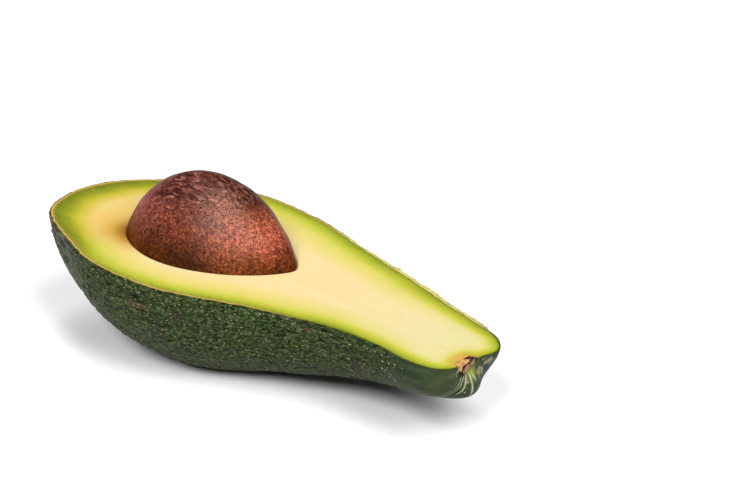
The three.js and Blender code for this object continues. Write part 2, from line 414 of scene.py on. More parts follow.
class Finish(Tree):
    """A material of this fruit, with the few textures that it needs. Sizes are in millimetres."""

    def __init__(self, name, roughness, **constants):
        self.material = bpy.data.materials.new(name)
        self.material.use_nodes = True
        super().__init__(self.material.node_tree)
        self.shader = self.tree.nodes["Principled BSDF"]
        self.shader.inputs["Roughness"].default_value = roughness
        for socket, value in constants.items():
            self.shader.inputs[socket.replace("_", " ")].default_value = value
        self.place = self.node("ShaderNodeTexCoord")["Object"]

    def kept(self, name):
        """A number that was kept at the mesh's points."""
        return self.node("ShaderNodeAttribute", {"attribute_name": name})["Fac"]

    def stretched(self, x, y, z):
        """The place, squeezed along each axis, so that a pattern gets longer where its number is small."""
        return self.node("ShaderNodeMapping", {}, {"Vector": self.place, "Scale": (x, y, z)})["Vector"]

    def noise(self, size, detail=2.0, roughness=0.5, distortion=0.0, place=None):
        sockets = {"Vector": place or self.place, "Scale": 1 / (size * MM)}
        sockets |= {"Detail": detail, "Roughness": roughness, "Distortion": distortion}
        return self.node("ShaderNodeTexNoise", {}, sockets)["Fac"]

    def cells(self, size, place):
        """How far each place is from the middle of its cell, as a share of the cells' size."""
        return self.node("ShaderNodeTexVoronoi", {}, {"Vector": place, "Scale": 1 / (size * MM)})["Distance"]

    def ramp(self, value, stops):
        return self.node("ShaderNodeValToRGB", {"stops": stops}, {"Fac": value})["Color"]

    def mix(self, first, second, share, blend="MIX"):
        settings = {"data_type": "RGBA", "blend_type": blend}
        sockets = {"Factor_Float": share, "A_Color": tone(first), "B_Color": tone(second)}
        return self.node("ShaderNodeMix", settings, sockets)["Result_Color"]

    def layer(self, color, layers, blend="MIX"):
        """Lays colours over a colour one after the other, each as strong as its share."""
        for over, share in layers:
            color = self.mix(color, over, share, blend)
        return color

    def bump(self, height, distance, strength):
        sockets = {"Height": height, "Distance": distance * MM, "Strength": strength}
        return self.node("ShaderNodeBump", {}, sockets)["Normal"]

    def put(self, **sockets):
        """Connects wires to the shader, and prints how large the tree has become."""
        for name, wire in sockets.items():
            self.tree.links.new(wire.socket, self.shader.inputs[name.replace("_", " ")])
        print(f"{self.material.name}: {len(self.tree.nodes)} nodes")


# %% [markdown]
# ## The peel's shape
#
# The peel is a thin shell. Its outside carries the relief: pebbles over most of it, long wrinkles that
# gather at the blossom end, and a smooth neck that ends in lobes and fine folds round the stem. Its inside
# is plain, and a flat strip joins the two where the knife went through. Round the stump both sides are
# drawn back into a pocket. Each kind of relief is a number from 0 to 1 at every point, so the same numbers
# can tell the material later where a pebble, a crease or the neck is.

# %% Pocket, lobes and wrinkles
STEM_REGION = LENGTH - 12


def stem_pocket(points, lining):
    """Draws the stem end back round the stump, and leaves a lining of peel there."""
    x, y, z = np.moveaxis(points, -1, 0)
    section = np.hypot((y - STEM_Y) / (STUMP_WIDTH + GAP - lining), z / (STUMP_DEPTH + GAP - lining))
    inside = (1 - smoothstep(section, 0.9, 1.1)) * (x > STEM_REGION)
    back = np.maximum(x - (STUMP_FROM - GAP + lining), 0)
    return points - (inside * back)[..., None] * np.array([1, 0, 0])


def round_stem(points):
    """How far each point is from the stem, and in which direction, from 0 on one edge of the cut to pi."""
    x, y, z = np.moveaxis(points, -1, 0)
    away = np.sqrt((y - STEM_Y) ** 2 + z**2 + ((LENGTH - x) / 2) ** 2)
    return away, np.arctan2(-z, y - STEM_Y)


def lobes(points):
    away, turn = round_stem(points)
    swell = LOBE_RISE + np.cos(LOBE_TURN * turn)
    return LOBE_HEIGHT * swell * np.exp(-(((away - LOBE_MIDDLE) / LOBE_REACH) ** 2))


# direction in degrees, and how far from the stem the fold starts and ends
STEM_FOLDS = [
    (66, 4.5, 8.5),
    (80, 3.8, 11.5),
    (98, 3.8, 12),
    (112, 4.2, 16),
    (127, 4.5, 10),
    (163, 3.0, 7.5),
]
FOLD_WIDTH = 0.34


def stem_folds(points):
    """Narrow folds of peel that run out of the dimple, as crests from 0 to 1."""
    away, turn = round_stem(points)
    bend = np.radians(3.5) * lattice_noise(points, 5, 3)
    crest = np.zeros(len(points))
    for direction, near, far in STEM_FOLDS:
        aside = (turn + bend - math.radians(direction)) * away
        reach = smoothstep(away, near - 1.2, near) * (1 - smoothstep(away, far - 4, far))
        crest = np.maximum(crest, reach * np.exp(-((aside / FOLD_WIDTH) ** 2)))
    return crest


def long_wrinkles(points, round_):
    """Thin ridges along the fruit at the blossom end: 1 on a ridge, 0 between two."""
    lengthwise = np.stack([round_ * 13, points[..., 0] / 9], axis=-1)
    broad = 1 - 1.9 * np.abs(lattice_noise(lengthwise, 1.0, 5))
    fine = 1 - 1.9 * np.abs(lattice_noise(lengthwise * np.array([2.0, 2.2]), 1.0, 6))
    return np.clip(0.65 * broad + 0.35 * fine, 0, 1) ** 1.5


def patch(points, direction, distance, size):
    """A soft patch on the skin near the stem, from 1 in its middle to 0."""
    away, turn = round_stem(points)
    aside = (turn - math.radians(direction)) * away
    return np.exp(-((aside / size) ** 2) - ((away - distance) / size) ** 2)


# %% The outside of the peel
PEEL_EDGE = 0.39
STEM_EDGE = 0.24
BLOSSOM_ZONE = 14, 34
NECK_ZONE = 115, 129
WRINKLE_HEIGHT, FOLD_HEIGHT, FURROW_DEPTH, WAVE_HEIGHT, GRAIN_HEIGHT = 0.5, 0.3, 0.16, 0.16, 0.07
BODY_RISE, NECK_RISE = 0.08, -0.28
peel_angles = row_angles(PEEL_EDGE, STEM_EDGE)


def peel_sides(angle):
    along = LENGTH / 2 * (1 - math.cos(angle))
    edge = STEM_EDGE if along > FINE_FROM else PEEL_EDGE * 1.06
    return max(4, round(math.pi * float(width_at(angle) + depth_at(angle)) / 2 / edge))


rows, angle, round_ = skin_grid(peel_angles, peel_sides)
skin = bare_skin(angle, round_)
along = skin[:, 0]
crest = pebble_crest(skin)
wrinkle = long_wrinkles(skin, round_) * smoothstep(along, 0.3, 2.5)
fold = stem_folds(skin)
furrow = smoothstep(lattice_noise(skin / np.array([4.2, 1.3, 1.3]), 1.0, 8), 0.25, 0.6)
blossom = 1 - smoothstep(along + 6 * lattice_noise(skin, 9, 9), *BLOSSOM_ZONE)
neck = smoothstep(along + 4 * lattice_noise(skin, 6, 10), *NECK_ZONE)
edge_rows = (round_ == 0) | (round_ == math.pi)
relief = (
    PEBBLE_HEIGHT * (crest - 0.5) * (1 - neck) * (1 - 0.7 * blossom)
    + WRINKLE_HEIGHT * (wrinkle - 0.3) * blossom
    - FURROW_DEPTH * furrow * (1 - neck)
    + WAVE_HEIGHT * lattice_noise(skin, 7, 1)
    + GRAIN_HEIGHT * lattice_noise(skin, 1.0, 2) * (1 - 0.8 * neck)
    + FOLD_HEIGHT * fold
    + lobes(skin)
    + np.interp(neck, [0, 1], [BODY_RISE, NECK_RISE])
)
outside = skin + relief[:, None] * outward(angle, round_)
outside[edge_rows, 2] = 0
outside = press_flat(stem_pocket(outside, 0), 0)
print("points on the outside:", len(outside), "relief, mm:", round(float(np.ptp(relief)), 2))

# %% The inside and the rim
INNER_SIDES = 18
inner_rows, inner_angle, inner_round = skin_grid(peel_angles, lambda angle: INNER_SIDES)


def inner_skin(angle, round_, less):
    """The peel's inside, or the flesh against it. Less takes a little off the peel's thickness."""
    bare = bare_skin(angle, round_)
    from_stem = np.hypot(bare[:, 1] - STEM_Y, bare[:, 2])
    thin = (1 - smoothstep(from_stem, 3.5, 6)) * (bare[:, 0] > STEM_REGION)
    rise = lobes(bare) - PEEL * (1 - 0.65 * thin) + less
    points = bare + rise[:, None] * outward(angle, round_)
    points[(round_ == 0) | (round_ == math.pi), 2] = 0
    return press_flat(stem_pocket(points, less - 0.25), PEEL)


inside = inner_skin(inner_angle, inner_round, 0)
start = len(outside)
inner_rows = [[start + i for i in row] for row in inner_rows]
faces = skin_faces(rows)
faces += [face[::-1] for face in skin_faces(inner_rows)]
faces += stitch([row[0] for row in rows], [row[0] for row in inner_rows])
faces += stitch([row[-1] for row in inner_rows], [row[-1] for row in rows])

# %% What the peel's material has to know
cork = np.maximum(patch(skin, 14, 7.0, 1.5), patch(skin, 38, 6.6, 1.9))
cork = np.maximum(cork, 0.8 * patch(skin, 92, 4.6, 1.3))
cork = smoothstep(cork + 0.6 * lattice_noise(skin, 0.8, 12), 0.42, 1.05)
height = in_frame(outside)[:, 2] / MM
# A patch on the near side of the neck, just below the rim, where specks crowd: they are painted glints, not
# pores.
glint_patch = np.exp(-(((skin[:, 0] - 121) / 4) ** 2) - ((skin[:, 2] + 3.2) / 2.4) ** 2) * (skin[:, 1] < 0)
speck_room = np.maximum((1 - 0.93 * neck) * (1 - 0.75 * blossom), glint_patch) * ~edge_rows * (height > 0.6)

# middle and reach of each scuff, in the fruit's frame
SCUFFS = [((52, -30, -6.5), (5, 4, 1.6)), ((96.6, -15, -2.6), (2.4, 3, 1.1))]
scuffed = [np.exp(-(((skin - middle) / reach) ** 2).sum(1)) for middle, reach in np.array(SCUFFS)]


def tan_rim(along, round_):
    """Where the rim is woody and tan: round the bulb, and further up the neck on its far side."""
    far_side = (round_ < 1) * (1 - smoothstep(along, 118, 130)) * 0.8
    return np.maximum(1 - smoothstep(along, 74, 104), far_side)


def torn_rim(along, round_):
    """Where the rim is pale and ragged: the far side of the neck."""
    return (round_ < 1) * smoothstep(along, 62, 76) * (1 - smoothstep(along, 126, 134))


def both(outer, inner=0.0):
    """A number for every point of the peel, from its values outside and one value for the inside."""
    return np.concatenate([outer, np.full(len(inside), float(inner))])


def both_ways(where):
    """A number for every point of the peel, from a rule for how far along and how far round it is."""
    inner_along = bare_skin(inner_angle, inner_round)[:, 0]
    return np.concatenate([where(along, round_), where(inner_along, inner_round)])


# %% The peel's mesh
both_sides = np.concatenate([outside, inside])
pocket = 1 - smoothstep(np.hypot(both_sides[:, 1] - STEM_Y, both_sides[:, 2]), 3.6, 4.4)
peel = make_mesh("peel_skin", both_sides, faces, {
    # crest and between steer painted light and shade in the peel's colour
    "crest": both(crest * (1 - neck) * (1 - blossom)),
    "wrinkle": both(wrinkle * blossom),
    "between": both((1 - smoothstep(wrinkle, 0.05, 0.35)) * blossom),
    "furrow": both(furrow * (1 - neck)),
    "blossom": both(blossom),
    "way_round": both(13 * MM * round_),
    "way_along": both(0.12 * MM * along),
    # the folds' crests are also painted lighter in the peel's colour: a painted highlight
    "fold": both(fold),
    "neck": both(neck, 1),
    "cork": both(cork),
    "pale": both(patch(skin, 66, 3.9, 1.5)),
    # a near-black patch in a cleft beside the stem: painted shade
    "cleft_shade": both(patch(skin, 135, 3.0, 1.3)),
    "inward": both(0 * along, 1),
    "pocket": pocket * (both_sides[:, 0] > LENGTH - 5),
    "tan": both_ways(tan_rim),
    "scuffed": both(np.max(scuffed, axis=0)),
    "stem_end": both(smoothstep(along, 129, 134) * (1 - smoothstep(along, 136.3, 138))),
    "torn": both_ways(torn_rim),
    "speck_room": both(speck_room),
})
report(peel)

# %% [markdown]
# ## The peel's colour
#
# Fresh green peel is waxy and deep green, with darker dashes of its own. On top of that its colour carries
# painted light: painted shade in the creases between the pebbles and in the furrows, the pebbles' tops
# painted a little lighter, and at the blossom end a greyish painted sheen on the wrinkles' crests with
# painted shade in the gaps between them. The finest wrinkles of the blossom end are smaller than the
# mesh's faces, so a noise that is drawn out along the fruit adds them as colour and bump. On the cut rim the
# green is only a thin line, and the rest is a tan layer of woody cells. The number kept as `inward` is 0 on
# the outside and 1 on the inside, so it says where on the rim a point is.

# %% Patterns of the peel
wax = Finish("peel_wax", 0.42, Specular_IOR_Level=0.04)
patches = wax.noise(12, detail=3)
grain = wax.noise(0.62, detail=3, roughness=0.65, place=wax.stretched(0.45, 1, 1))
flecks = grain.ease(0.4, 0.63)
dashes = wax.noise(1.0, detail=2, place=wax.stretched(0.28, 1, 1)).ease(0.57, 0.66)
# The dashes are the peel's own dark pattern, and the furrows' share is painted shade.
creases = dashes * 1.2 + wax.kept("furrow") * 0.5
neck_streaks = wax.noise(1.8, detail=4, roughness=0.6, place=wax.stretched(0.16, 1, 1))
ways = {"X": wax.kept("way_round"), "Y": wax.kept("way_along")}
meridians = wax.node("ShaderNodeCombineXYZ", {}, ways)["Vector"]
hairs = wax.noise(0.62, detail=3, roughness=0.6, distortion=0.4, place=meridians)
# Painted shade in the gaps between the blossom end's wrinkles.
gap_shade = (wax.kept("between") * 0.5 + (1 - hairs.ease(0.38, 0.48))) * wax.kept("blossom")
# Painted sheen, a greyish highlight on the crests of the blossom end's wrinkles.
ridges = (wax.kept("wrinkle").ease(0.2, 0.7) * 0.3 + 0.7) * hairs.ease(0.5, 0.6)
scuffs = wax.noise(6, detail=5, roughness=0.75).ease(0.64, 0.7) * (1 - wax.kept("neck"))
scuffs += (wax.kept("scuffed") * grain).ease(0.26, 0.42)

# %% Peel colour
# The crest share paints the pebbles' tops lighter and the creases between them darker: painted light and
# shade.
green = wax.ramp(wax.kept("crest") * 0.35 + flecks * 0.65, {
    0.0: (28, 41, 16),
    0.35: (51, 64, 33),
    0.62: (74, 87, 51),
    1.0: (106, 117, 74),
})
neck_green = wax.ramp(neck_streaks, {0.36: (48, 60, 38), 0.5: (63, 75, 52), 0.64: (79, 90, 63)})
green = wax.layer(green, [
    # Dark green from the peel's own dashes, and painted shade in the furrows.
    ((12, 24, 2), creases.ease(0.1, 1.2) * 0.9),
    ((52, 44, 38), patches.ease(0.56, 0.72) * 0.7),
    (neck_green, wax.kept("neck")),
    ((58, 66, 40), wax.kept("stem_end") * (0.45 + flecks * 0.35)),
    # Painted shade between the wrinkles.
    ((22, 34, 14), gap_shade.ease(0.1, 1.2) * 0.75),
    # Painted sheen on the wrinkles' crests.
    ((160, 168, 136), ridges * wax.kept("blossom") * 0.65),
    ((150, 168, 76), wax.kept("pale") * 0.8),
    ((196, 178, 148), wax.kept("cork") * (0.3 + flecks * 0.7)),
    # Painted shade in the cleft beside the stem.
    ((16, 10, 6), wax.kept("cleft_shade") * 0.9),
    # Painted highlight on the crests of the folds round the stem.
    ((188, 194, 160), wax.kept("fold").ease(0.35, 0.95) * 0.8),
    ((96, 72, 54), scuffs * 0.75),
])
green = wax.mix(green, (1.05, 1.05, 1.03, 1), 1.0, "MULTIPLY")

# %% Peel rim, and the finished peel
rim_place = wax.kept("inward") + (grain - 0.5) * 0.5 + (wax.noise(2.2) - 0.5) * 0.5
green_rim = wax.ramp(rim_place, {0.15: (30, 44, 14), 0.5: (84, 100, 26), 1.0: (136, 150, 42)})
woody_rim = wax.ramp(rim_place, {
    0.06: (34, 42, 18),
    0.18: (110, 92, 38),
    0.36: (180, 148, 72),
    0.6: (216, 188, 104),
    0.85: (194, 170, 80),
    1.0: (138, 138, 42),
})
pale_rim = wax.ramp(rim_place, {
    0.1: (196, 182, 100),
    0.3: (214, 204, 122),
    0.65: (226, 218, 140),
    0.85: (124, 100, 46),
    1.0: (150, 150, 52),
})
rim = wax.layer(green_rim, [
    (woody_rim, wax.kept("tan")),
    (pale_rim, wax.kept("torn")),
    ((228, 172, 96), wax.kept("pocket") * 0.85),
])
on_rim = wax.kept("inward").ease(0.02, 0.1)
wax.put(
    Base_Color=wax.mix(green, rim, on_rim),
    Roughness=0.3 + grain * 0.3 + on_rim * 0.25,
    Normal=wax.bump(grain + hairs * wax.kept("blossom"), 0.2, 0.7),
)
peel.data.materials.append(wax.material)
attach(peel, "root")
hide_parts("peel")

# %% [markdown]
# ## Specks on the peel
#
# The pale specks are lenticels, corky pores that every avocado has by the thousand. They repeat, so
# Geometry Nodes scatter them: points on the skin that keep a least distance, and a tiny flattened ball on
# each, turned to lie on the skin and along the fruit. The number kept as `speck_room` leaves the neck and
# the cut rim nearly bare.
# On the near side of the neck a patch is crowded with specks, and specks on the neck are whitened: these are
# painted glints.

# %% Speck scatterer


class Scatter(Tree):
    """A Geometry Nodes tree whose inputs have names."""

    def __init__(self, name, inputs):
        super().__init__(bpy.data.node_groups.new(name, "GeometryNodeTree"))
        self.keys = {}
        for label, kind in inputs.items():
            socket = self.tree.interface.new_socket(label, in_out="INPUT", socket_type=kind)
            self.keys[label] = socket.identifier
        made = self.tree.interface.new_socket("Geometry", in_out="OUTPUT", socket_type="NodeSocketGeometry")
        self.out = made.identifier
        wires = self.node("NodeGroupInput")
        self.inputs = {label: wires[key] for label, key in self.keys.items()}

    def finish_on(self, obj, name, values):
        """Runs the tree on an object with these input values and returns a new object with a plain mesh."""
        carrier = bpy.data.objects.new(name, obj.data)
        bpy.context.collection.objects.link(carrier)
        modifier = carrier.modifiers.new(name, "NODES")
        modifier.node_group = self.tree
        for label, value in values.items():
            modifier[self.keys[label]] = value
        view = bpy.context.evaluated_depsgraph_get()
        mesh = bpy.data.meshes.new_from_object(carrier.evaluated_get(view))
        bpy.data.objects.remove(carrier)
        mesh.name = name
        result = bpy.data.objects.new(name, mesh)
        bpy.context.collection.objects.link(result)
        return result


# %% The tree for the specks
specks = Scatter("specks", {
    "Geometry": "NodeSocketGeometry",
    "Spacing": "NodeSocketFloat",
    "Density": "NodeSocketFloat",
    "Smallest": "NodeSocketFloat",
    "Largest": "NodeSocketFloat",
    "Seed": "NodeSocketInt",
    "Finish": "NodeSocketMaterial",
})
room = specks.node("GeometryNodeInputNamedAttribute", {"data_type": "FLOAT"}, {"Name": "speck_room"})
spread = specks.node("GeometryNodeDistributePointsOnFaces", {"distribute_method": "POISSON"}, {
    "Mesh": specks.inputs["Geometry"],
    "Distance Min": specks.inputs["Spacing"],
    "Density Max": specks.inputs["Density"],
    "Density Factor": room["Attribute"],
    "Seed": specks.inputs["Seed"],
})
ball = specks.node("GeometryNodeMeshIcoSphere", {}, {"Radius": 1.0, "Subdivisions": 1})["Mesh"]
flake = specks.node("GeometryNodeTransform", {}, {"Geometry": ball, "Scale": (1.7, 0.7, 0.3)})
lie = specks.node("FunctionNodeAlignRotationToVector", {"axis": "X", "pivot_axis": "Z"}, {
    "Rotation": spread["Rotation"],
    "Vector": (1.0, 0.0, 0.0),
})
size = specks.node("FunctionNodeRandomValue", {"data_type": "FLOAT"}, {
    "Min_001": specks.inputs["Smallest"],
    "Max_001": specks.inputs["Largest"],
    "Seed": specks.inputs["Seed"],
})
placed = specks.node("GeometryNodeInstanceOnPoints", {}, {
    "Points": spread["Points"],
    "Instance": flake["Geometry"],
    "Rotation": lie["Rotation"],
    "Scale": size["Value_001"],
})
real = specks.node("GeometryNodeRealizeInstances", {}, {"Geometry": placed["Instances"]})["Geometry"]
soft = specks.node("GeometryNodeSetShadeSmooth", {}, {"Geometry": real})["Geometry"]
painted = specks.node("GeometryNodeSetMaterial", {}, {"Geometry": soft, "Material": specks.inputs["Finish"]})
specks.node("NodeGroupOutput", {}, {specks.out: painted["Geometry"]})

# %% Scatter the specks
# Where along the fruit, in metres, the specks are whitened into painted glints.
GLINT_FROM, GLINT_TO = 0.061, 0.064
pore_and_glint = Finish("speck_cork", 0.6)
speck_color = pore_and_glint.ramp(pore_and_glint.noise(1.6, detail=1), {
    0.35: (86, 104, 42),
    0.5: (130, 146, 66),
    0.65: (176, 176, 110),
})
# Specks on the neck are whitened: painted glints.
glint_on_neck = pore_and_glint.node("ShaderNodeSeparateXYZ", {}, {"Vector": pore_and_glint.place})["X"].ease(GLINT_FROM, GLINT_TO)
pore_and_glint.put(Base_Color=pore_and_glint.mix(speck_color, (214, 216, 192), glint_on_neck * 0.8))
speck_piece = specks.finish_on(peel, "peel_specks", {
    "Spacing": 0.9 * MM,
    "Density": 0.8 / MM**2,
    "Smallest": 0.07 * MM,
    "Largest": 0.23 * MM,
    "Seed": 4,
    "Finish": pore_and_glint.material,
})
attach(speck_piece, "root")
report(speck_piece)

# %% [markdown]
# ## The seed's form
#
# An avocado seed is an egg with a blunt and a pointed end. A ball made from the six sides of a cube has no
# poles and even faces, so it suits a form that is seen from everywhere. Each direction is followed outwards
# until it meets the egg, which a few halvings of the interval find quickly.

# %% The egg
SEED_MIDDLE = np.array([49.0, 0.8, -2.3])
SEED_TURN = math.radians(9.5)
SEED_HALF, SEED_WIDTH, SEED_HEIGHT = 26.2, 17.5, 21.75
SEED_ENDS, SEED_SECTION, SEED_BLUNT, SEED_LEAN = 1.4, 1.82, 0.15, 0.045
BEYOND_SEED, HALVINGS = 60.0, 40


def egg_level(points, grown):
    """Below 1 inside the egg and above 1 outside it. Points are given from its middle, along its axes."""
    x, y, z = np.moveaxis(points, -1, 0)
    share = np.clip(x / (SEED_HALF + grown), -1, 1)
    full = np.maximum((1 - share**2) ** (SEED_ENDS / 2) * (1 - SEED_BLUNT * share), 1e-6)
    aside = np.abs(y) / full / (SEED_WIDTH + grown)
    above = np.abs(z - SEED_LEAN * x) / full / (SEED_HEIGHT + grown)
    return np.where(np.abs(x) >= SEED_HALF + grown, np.inf, aside**SEED_SECTION + above**SEED_SECTION)


def reach_to_egg(ways, grown, start=0.0):
    """How far along each way the egg's surface is, from start, which lies inside it."""
    low, high = np.zeros(ways.shape[:-1]), np.full(ways.shape[:-1], BEYOND_SEED)
    for _ in range(HALVINGS):
        middle = (low + high) / 2
        inside = egg_level(start + ways * middle[..., None], grown) < 1
        low, high = np.where(inside, middle, low), np.where(inside, high, middle)
    return low


def seed_to_fruit(points):
    c, s = math.cos(SEED_TURN), math.sin(SEED_TURN)
    x, y, z = np.moveaxis(points, -1, 0)
    return np.stack([x * c - y * s, x * s + y * c, z], axis=-1) + SEED_MIDDLE


# %% The seed's mesh
SEED_CELLS = 84


def cube_ball(cells):
    """Unit directions over a ball, and the faces between them."""
    ticks = np.tan(np.linspace(-1, 1, cells + 1) * math.pi / 4)
    u, v = np.meshgrid(ticks, ticks, indexing="ij")
    one = np.ones_like(u)
    sides = [(one, u, v), (-one, v, u), (v, one, u), (u, -one, v), (u, v, one), (v, u, -one)]
    ways = np.concatenate([np.stack(side, -1).reshape(-1, 3) for side in sides])
    ways /= np.linalg.norm(ways, axis=1, keepdims=True)
    ways, same = np.unique(np.round(ways, 7), axis=0, return_inverse=True)
    same = same.reshape(6, cells + 1, cells + 1)
    quads = np.stack([same[:, :-1, :-1], same[:, 1:, :-1], same[:, 1:, 1:], same[:, :-1, 1:]], -1)
    return ways, [tuple(quad) for quad in quads.reshape(-1, 4).tolist()]


ways, seed_faces = cube_ball(SEED_CELLS)
egg = ways * reach_to_egg(ways, 0)[:, None]
dents = 0.22 * lattice_noise(egg, 9, 21) + 0.1 * lattice_noise(egg, 3.4, 22)
fibres = lattice_noise(egg + 0.8 * lattice_noise(egg, 2.5, 25)[:, None], 0.9, 23)
egg += (dents + 0.035 * fibres)[:, None] * ways
dry = smoothstep(egg[:, 2] / SEED_HEIGHT + 0.25 * lattice_noise(egg, 8, 24), 0.5, 1.0)
egg_x, egg_y, egg_z = (egg / np.array([SEED_HALF, SEED_WIDTH, SEED_HEIGHT])).T
seed = make_mesh("seed_coat", seed_to_fruit(egg), seed_faces, {
    "dry": dry,
    "aged": smoothstep(-egg_x, -0.1, 0.9),
    # painted shade on the seed's lower part, near the flesh
    "low": smoothstep(-egg_z, -0.62, -0.15),
    # painted light on a patch towards the stem end
    "lit_side": np.exp(-(((egg_x - 0.66) / 0.3) ** 2) - ((egg_z - 0.32) / 0.4) ** 2),
    # painted highlight, a pale patch on the near side of the top
    "painted_gloss": np.exp(-(((egg_x - 0.3) / 0.24) ** 2) - ((egg_y + 0.43) / 0.26) ** 2) * (egg_z > 0),
})
report(seed)

# %% [markdown]
# ## The seed's colour
#
# The seed coat is a papery skin, red brown and mottled by fine fibres that dry lighter than the film
# between them. Two noises, one of them twisted, give the mottling, and a third lays broad patches of
# lighter and darker film over it. The coat is duller and more purple at its blunt end. Towards the bottom,
# near the flesh, it is painted darker and browner, which is painted shade, and a patch towards the stem end
# is painted lighter, which is painted light. On top, where it has dried most, it is wrinkled and has pale
# strands, and a pale patch on its near side is a painted highlight.

# %% Seed material
coat = Finish("seed_film", 0.45, Specular_IOR_Level=0.1)
twisted = coat.noise(1.1, detail=5, roughness=0.7, distortion=1.1)
mottle = coat.noise(0.6, detail=4, roughness=0.8, distortion=0.8)
film = coat.ramp(twisted * 0.55 + mottle * 0.45, {
    0.37: (34, 11, 8),
    0.45: (76, 32, 17),
    0.52: (115, 56, 31),
    0.64: (172, 104, 66),
})
tint = coat.ramp(coat.noise(13, detail=2), {
    0.34: (0.72, 0.72, 0.45, 1),
    0.46: (1, 0.95, 0.8, 1),
    0.58: (1.25, 1.05, 0.95, 1),
    0.7: (0.75, 0.62, 0.7, 1),
})
film = coat.layer(film, [
    (tint, 1.0),
    ((2.7, 2.9, 8.0, 1), coat.kept("aged")),
    # Painted shade: the lower part darker and browner.
    ((0.4, 0.34, 0.08, 1), coat.kept("low")),
    # Painted light: a patch towards the stem end lighter.
    ((3.1, 3.4, 5.8, 1), coat.kept("lit_side")),
], "MULTIPLY")
strands = coat.noise(0.95, detail=4, roughness=0.7, distortion=0.7, place=coat.stretched(0.35, 1, 1))
dried = coat.ramp(strands, {0.4: (18, 7, 8), 0.48: (58, 26, 22), 0.57: (120, 68, 56), 0.66: (196, 142, 128)})
film = coat.layer(film, [
    (dried, coat.kept("dry") * 0.85),
    # Painted highlight near the top.
    ((226, 164, 140), coat.kept("painted_gloss") * mottle.ease(0.42, 0.62) * 0.5),
])
coat.put(
    Base_Color=film,
    Roughness=0.3 + mottle * 0.24,
    Normal=coat.bump(twisted * 0.5 + mottle * 0.5, 0.14, 0.8),
)
seed.data.materials.append(coat.material)
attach(seed, "root")
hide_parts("seed")

# %% [markdown]
# ## The flesh
#
# The cut face is a ring of flesh between the hollow and the peel. It is meshed like a spider's web: threads
# run from the hollow's edge to the peel, and rings cross them. The same threads carry on down the hollow
# and the same outline carries on round the back, so the whole piece is one closed skin. Two distances are
# kept at its points, one to the peel and one to the seed, because the flesh takes its colour from them.

# %% Outline and hollow
OVERLAP = 0.02
SEED_GAP = 0.22
BACK_SIDES, HOLLOW_LEVELS = 20, 12
flesh_angles = peel_angles[::2] if len(peel_angles) % 2 else np.append(peel_angles[:-1:2], math.pi)
back_rows, back_angle, back_round = skin_grid(flesh_angles, lambda angle: BACK_SIDES)
back = inner_skin(back_angle, back_round, OVERLAP)
outline = [row[0] for row in back_rows] + [row[-1] for row in back_rows[-2:0:-1]]
rim_points = back[outline]
print("points round the cut:", len(outline))

bearing = np.arctan2(rim_points[:, 1] - SEED_MIDDLE[1], rim_points[:, 0] - SEED_MIDDLE[0])
flat_ways = np.stack([np.cos(bearing - SEED_TURN), np.sin(bearing - SEED_TURN), 0 * bearing], -1)
cut_height = np.array([0, 0, -SEED_MIDDLE[2]])
hollow_reach = reach_to_egg(flat_ways, SEED_GAP, start=cut_height)
hollow_edge = seed_to_fruit(flat_ways * hollow_reach[:, None] + cut_height)

# %% Threads from the hollow to the peel
LIP = np.array([0, 0.1, 0.25, 0.5, 0.9])
THREAD = np.linspace(0, 1, 44)[1:]
span = np.linalg.norm(rim_points - hollow_edge, axis=1)
steps = [np.full(len(span), distance) for distance in LIP] + [LIP[-1] + (span - LIP[-1]) * t for t in THREAD]
print("flesh between seed and peel, mm:", round(float(span.min()), 1), "to", round(float(span.max()), 1))
thread = (rim_points - hollow_edge) / span[:, None]
face_rings = np.stack([hollow_edge + thread * step[:, None] for step in steps])
seed_away = np.stack(steps)
x, y = face_rings[..., 0], face_rings[..., 1]
peel_away = np.sqrt(((face_rings[..., None, :2] - rim_points[None, None, ::3, :2]) ** 2).sum(-1).min(-1))
sag = 0.9 * np.exp(-(((x - 23) / 6.5) ** 2) - ((y + 7) / 9) ** 2)
slices = lattice_noise(np.stack([x / 22, y / 3.5], -1), 1.0, 31)
level = -0.3 * (1 - smoothstep(seed_away, 0, 0.6)) - sag * smoothstep(peel_away, 0.5, 6)
level += 0.05 * slices * smoothstep(peel_away, 0.2, 2)
face_rings[..., 2] = level
face_rings[-1] = rim_points

# %% Close the flesh and keep its distances
ring_count, column_count = seed_away.shape
start = len(back)
number = start + np.arange((ring_count - 1) * column_count).reshape(ring_count - 1, column_count)
number = np.concatenate([number, np.array(outline)[None]])
edge_tilt = np.arctan2(cut_height[2], hollow_reach)
hollow_rings = []
for share in np.linspace(0, 1, HOLLOW_LEVELS + 1)[1:-1]:
    tilt = edge_tilt + (-math.pi / 2 - edge_tilt) * share
    way = flat_ways * np.cos(tilt)[:, None]
    way[:, 2] = np.sin(tilt)
    hollow_rings.append(seed_to_fruit(way * reach_to_egg(way, SEED_GAP)[:, None]))
hollow_number = start + (ring_count - 1) * column_count
hollow_number = hollow_number + np.arange(len(hollow_rings) * column_count).reshape(-1, column_count)
hollow_bottom = SEED_MIDDLE - np.array([0, 0, SEED_HEIGHT + SEED_GAP])


def web(numbers):
    """Quads between rings that close on themselves."""
    after = np.roll(numbers, -1, axis=1)
    quads = np.stack([numbers[:-1], numbers[1:], after[1:], after[:-1]], -1)
    return [tuple(quad) for quad in quads.reshape(-1, 4).tolist()]


def fan(ring, middle):
    """Triangles that close a ring with a point in its middle."""
    return [(int(a), int(middle), int(b)) for a, b in zip(ring, np.roll(ring, -1))]


